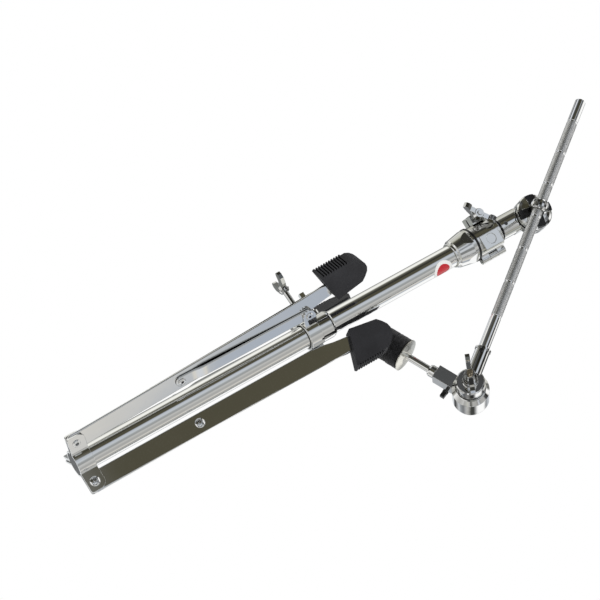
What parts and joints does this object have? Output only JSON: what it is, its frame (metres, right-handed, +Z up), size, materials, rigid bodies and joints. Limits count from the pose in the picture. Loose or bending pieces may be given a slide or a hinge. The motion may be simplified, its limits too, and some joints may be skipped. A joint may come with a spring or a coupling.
{
  "type": "cymbal boom stand",
  "caption": "Folding chrome cymbal boom stand with flat strip legs, sliding collar, height clamp, boom tilter, knurled boom arm and felt-topped cymbal tilter, shown folded.",
  "frame": {"origin": "on the axis of the base tube, in the plane of the leg bracket's lower edge", "axes": "+Z up the base tube from bracket to boom tilter; +X out through the front leg's pivot; +Y completes a right-handed frame"},
  "size_m": [0.2463, 0.1292, 0.7195],
  "materials": {
    "chrome": "bright chrome plate",
    "satin_steel": "knurled plated steel, satin",
    "foot_rubber": "dark grey moulded rubber",
    "black_plastic": "black nylon, matte",
    "sleeve_plastic": "black plastic sleeve",
    "felt": "black pressed felt",
    "dark_screw": "black oxide steel",
    "nickel": "warm nickel plate",
    "brass_plate": "yellow zinc plate"
  },
  "bodies": {
    "base": {"base_tube": "chrome", "tube_end_plug": "black_plastic", "base_bracket_front": "chrome", "base_bracket_left": "chrome", "base_bracket_back": "chrome", "leg_pivot_sleeves": "chrome", "leg_pivot_screws": "chrome", "height_clamp_casting": "chrome", "height_clamp_liner": "black_plastic", "clamp_seam_ring": "black_plastic", "clamp_hinge_pin": "chrome", "clamp_swing_bolt": "chrome"},
    "collar": {"leg_collar": "chrome", "collar_liner": "black_plastic", "collar_ear_plates": "chrome", "collar_ear_rivets": "chrome", "collar_bolt_washer": "chrome"},
    "collar_lock": {"collar_wing_bolt": "chrome"},
    "collar_key": {"collar_key_bolt": "chrome"},
    "clamp_gate": {"height_clamp_gate": "chrome"},
    "clamp_nut_washer": {"clamp_washer": "chrome"},
    "clamp_nut": {"clamp_wing_nut": "chrome"},
    "middle_stage": {"middle_tube": "chrome"},
    "tilter": {"tilter_socket": "chrome", "tilter_set_screw": "dark_screw", "tilter_brake_pad": "black_plastic", "tilter_washer": "chrome"},
    "tilter_nut": {"tilter_wing_nut": "chrome"},
    "boom_holder": {"tilter_front_disc": "chrome", "tilter_saddle": "black_plastic", "tilter_eye_bolt": "chrome"},
    "boom": {"boom_arm": "satin_steel"},
    "cymbal_tilter": {"cymbal_tilter_upper": "chrome", "boom_end_set_screw": "dark_screw", "cymbal_tilter_disc": "black_plastic", "cymbal_tilter_washer": "chrome"},
    "cymbal_tilter_nut": {"cymbal_tilter_wing_nut": "chrome"},
    "cymbal_rod_holder": {"cymbal_tilter_lower": "chrome", "tilter_pivot_bolt": "brass_plate", "rod_key_screw": "dark_screw", "cymbal_rod": "chrome", "rod_lock_collar": "chrome", "cymbal_seat_washer": "nickel", "rod_sleeve": "sleeve_plastic", "felt_lower": "felt", "felt_upper": "felt"},
    "cymbal_nut": {"cymbal_wing_nut": "chrome"},
    "leg_front": {"leg_strip_front": "chrome", "leg_foot_front": "foot_rubber", "strut_screw_front": "chrome"},
    "strut_front_link": {"strut_front": "chrome"},
    "leg_left": {"leg_strip_left": "chrome", "leg_foot_left": "foot_rubber", "strut_screw_left": "chrome"},
    "strut_left_link": {"strut_left": "chrome"},
    "leg_back": {"leg_strip_back": "chrome", "leg_foot_back": "foot_rubber", "strut_screw_back": "chrome"},
    "strut_back_link": {"strut_back": "chrome"}
  },
  "joints": [
    {"name": "leg_front_fold", "type": "hinge", "parent": "base", "child": "leg_front", "pos_m": [0.027, 0, 0.0085], "axis": [0, 1, 0], "range_deg": [0, 90]},
    {"name": "strut_front_swing", "type": "hinge", "parent": "leg_front", "child": "strut_front_link", "pos_m": [0.027, 0, 0.133], "axis": [0, 1, 0], "range_deg": [-142.18, 0]},
    {"name": "leg_left_fold", "type": "hinge", "parent": "base", "child": "leg_left", "pos_m": [-0.0135, -0.02338, 0.0085], "axis": [0.866, -0.5, 0], "range_deg": [0, 87.5]},
    {"name": "strut_left_swing", "type": "hinge", "parent": "leg_left", "child": "strut_left_link", "pos_m": [-0.01622, -0.02809, 0.13288], "axis": [0.866, -0.5, 0], "range_deg": [-137.69, 0]},
    {"name": "leg_back_fold", "type": "hinge", "parent": "base", "child": "leg_back", "pos_m": [-0.0135, 0.02338, 0.0085], "axis": [-0.866, -0.5, 0], "range_deg": [0, 89]},
    {"name": "strut_back_swing", "type": "hinge", "parent": "leg_back", "child": "strut_back_link", "pos_m": [-0.01459, 0.02526, 0.13298], "axis": [-0.866, -0.5, 0], "range_deg": [-140.38, 0]},
    {"name": "collar_slide", "type": "slide", "parent": "base", "child": "collar", "axis": [0, 0, 1], "range_m": [-0.18315, 0]},
    {"name": "collar_wing_bolt_turn", "type": "hinge", "parent": "collar", "child": "collar_lock", "pos_m": [-0.03, 0, 0.2935], "axis": [-1, 0, 0], "continuous": true},
    {"name": "collar_key_bolt_turn", "type": "hinge", "parent": "collar", "child": "collar_key", "pos_m": [-0.03, 0, 0.307], "axis": [-1, 0, 0], "continuous": true},
    {"name": "clamp_gate_open", "type": "hinge", "parent": "base", "child": "clamp_gate", "pos_m": [0.02152, 0.00457, 0.5295], "axis": [0, 0, 1], "range_deg": [0, 8]},
    {"name": "clamp_nut_back_off", "type": "slide", "parent": "base", "child": "clamp_nut_washer", "axis": [0.2079, -0.9781, 0], "range_m": [0, 0.0078]},
    {"name": "clamp_wing_nut_turn", "type": "hinge", "parent": "clamp_nut_washer", "child": "clamp_nut", "pos_m": [-0.02266, -0.01606, 0.5295], "axis": [0.2079, -0.9781, 0], "continuous": true},
    {"name": "middle_tube_slide", "type": "slide", "parent": "base", "child": "middle_stage", "axis": [0, 0, 1], "range_m": [0, 0.17]},
    {"name": "tilter_swivel", "type": "hinge", "parent": "middle_stage", "child": "tilter", "pos_m": [0, 0, 0.57], "axis": [0, 0, 1], "range_deg": [-12, 30]},
    {"name": "tilter_wing_nut_turn", "type": "hinge", "parent": "tilter", "child": "tilter_nut", "pos_m": [0.00477, 0.00052, 0.5926], "axis": [-0.108, 0.9942, 0], "continuous": true},
    {"name": "boom_tilt", "type": "hinge", "parent": "tilter", "child": "boom_holder", "pos_m": [0.00477, 0.00052, 0.5926], "axis": [0.108, -0.9942, 0], "range_deg": [0, 100]},
    {"name": "boom_slide", "type": "slide", "parent": "boom_holder", "child": "boom", "axis": [0.5624, 0.0611, -0.8246], "range_m": [-0.03, 0.12]},
    {"name": "boom_roll", "type": "hinge", "parent": "boom", "child": "cymbal_tilter", "pos_m": [0.12549, -0.01966, 0.42083], "axis": [0.5624, 0.0611, -0.8246], "range_deg": [0, 270]},
    {"name": "cymbal_tilt", "type": "hinge", "parent": "cymbal_tilter", "child": "cymbal_rod_holder", "pos_m": [0.13809, -0.01829, 0.40236], "axis": [-0.1873, -0.9619, -0.199], "range_deg": [-30, 90]},
    {"name": "cymbal_tilter_wing_nut_turn", "type": "hinge", "parent": "cymbal_tilter", "child": "cymbal_tilter_nut", "pos_m": [0.13809, -0.01829, 0.40236], "axis": [-0.1873, -0.9619, -0.199], "continuous": true},
    {"name": "cymbal_wing_nut_turn", "type": "hinge", "parent": "cymbal_rod_holder", "child": "cymbal_nut", "pos_m": [0.02495, 0.04378, 0.36714], "axis": [-0.9157, 0.2444, -0.3192], "continuous": true}
  ],
  "couplings": [
    {"joint": "strut_front_swing", "follows": "leg_front_fold", "ratio": -1.5792},
    {"joint": "leg_left_fold", "follows": "leg_front_fold", "ratio": 0.97221},
    {"joint": "strut_left_swing", "follows": "leg_front_fold", "ratio": -1.5293},
    {"joint": "leg_back_fold", "follows": "leg_front_fold", "ratio": 0.98888},
    {"joint": "strut_back_swing", "follows": "leg_front_fold", "ratio": -1.5592},
    {"joint": "collar_slide", "follows": "leg_front_fold", "m_per_rad": -0.11647},
    {"joint": "clamp_nut_back_off", "follows": "clamp_gate_open", "m_per_rad": 0.0545}
  ]
}
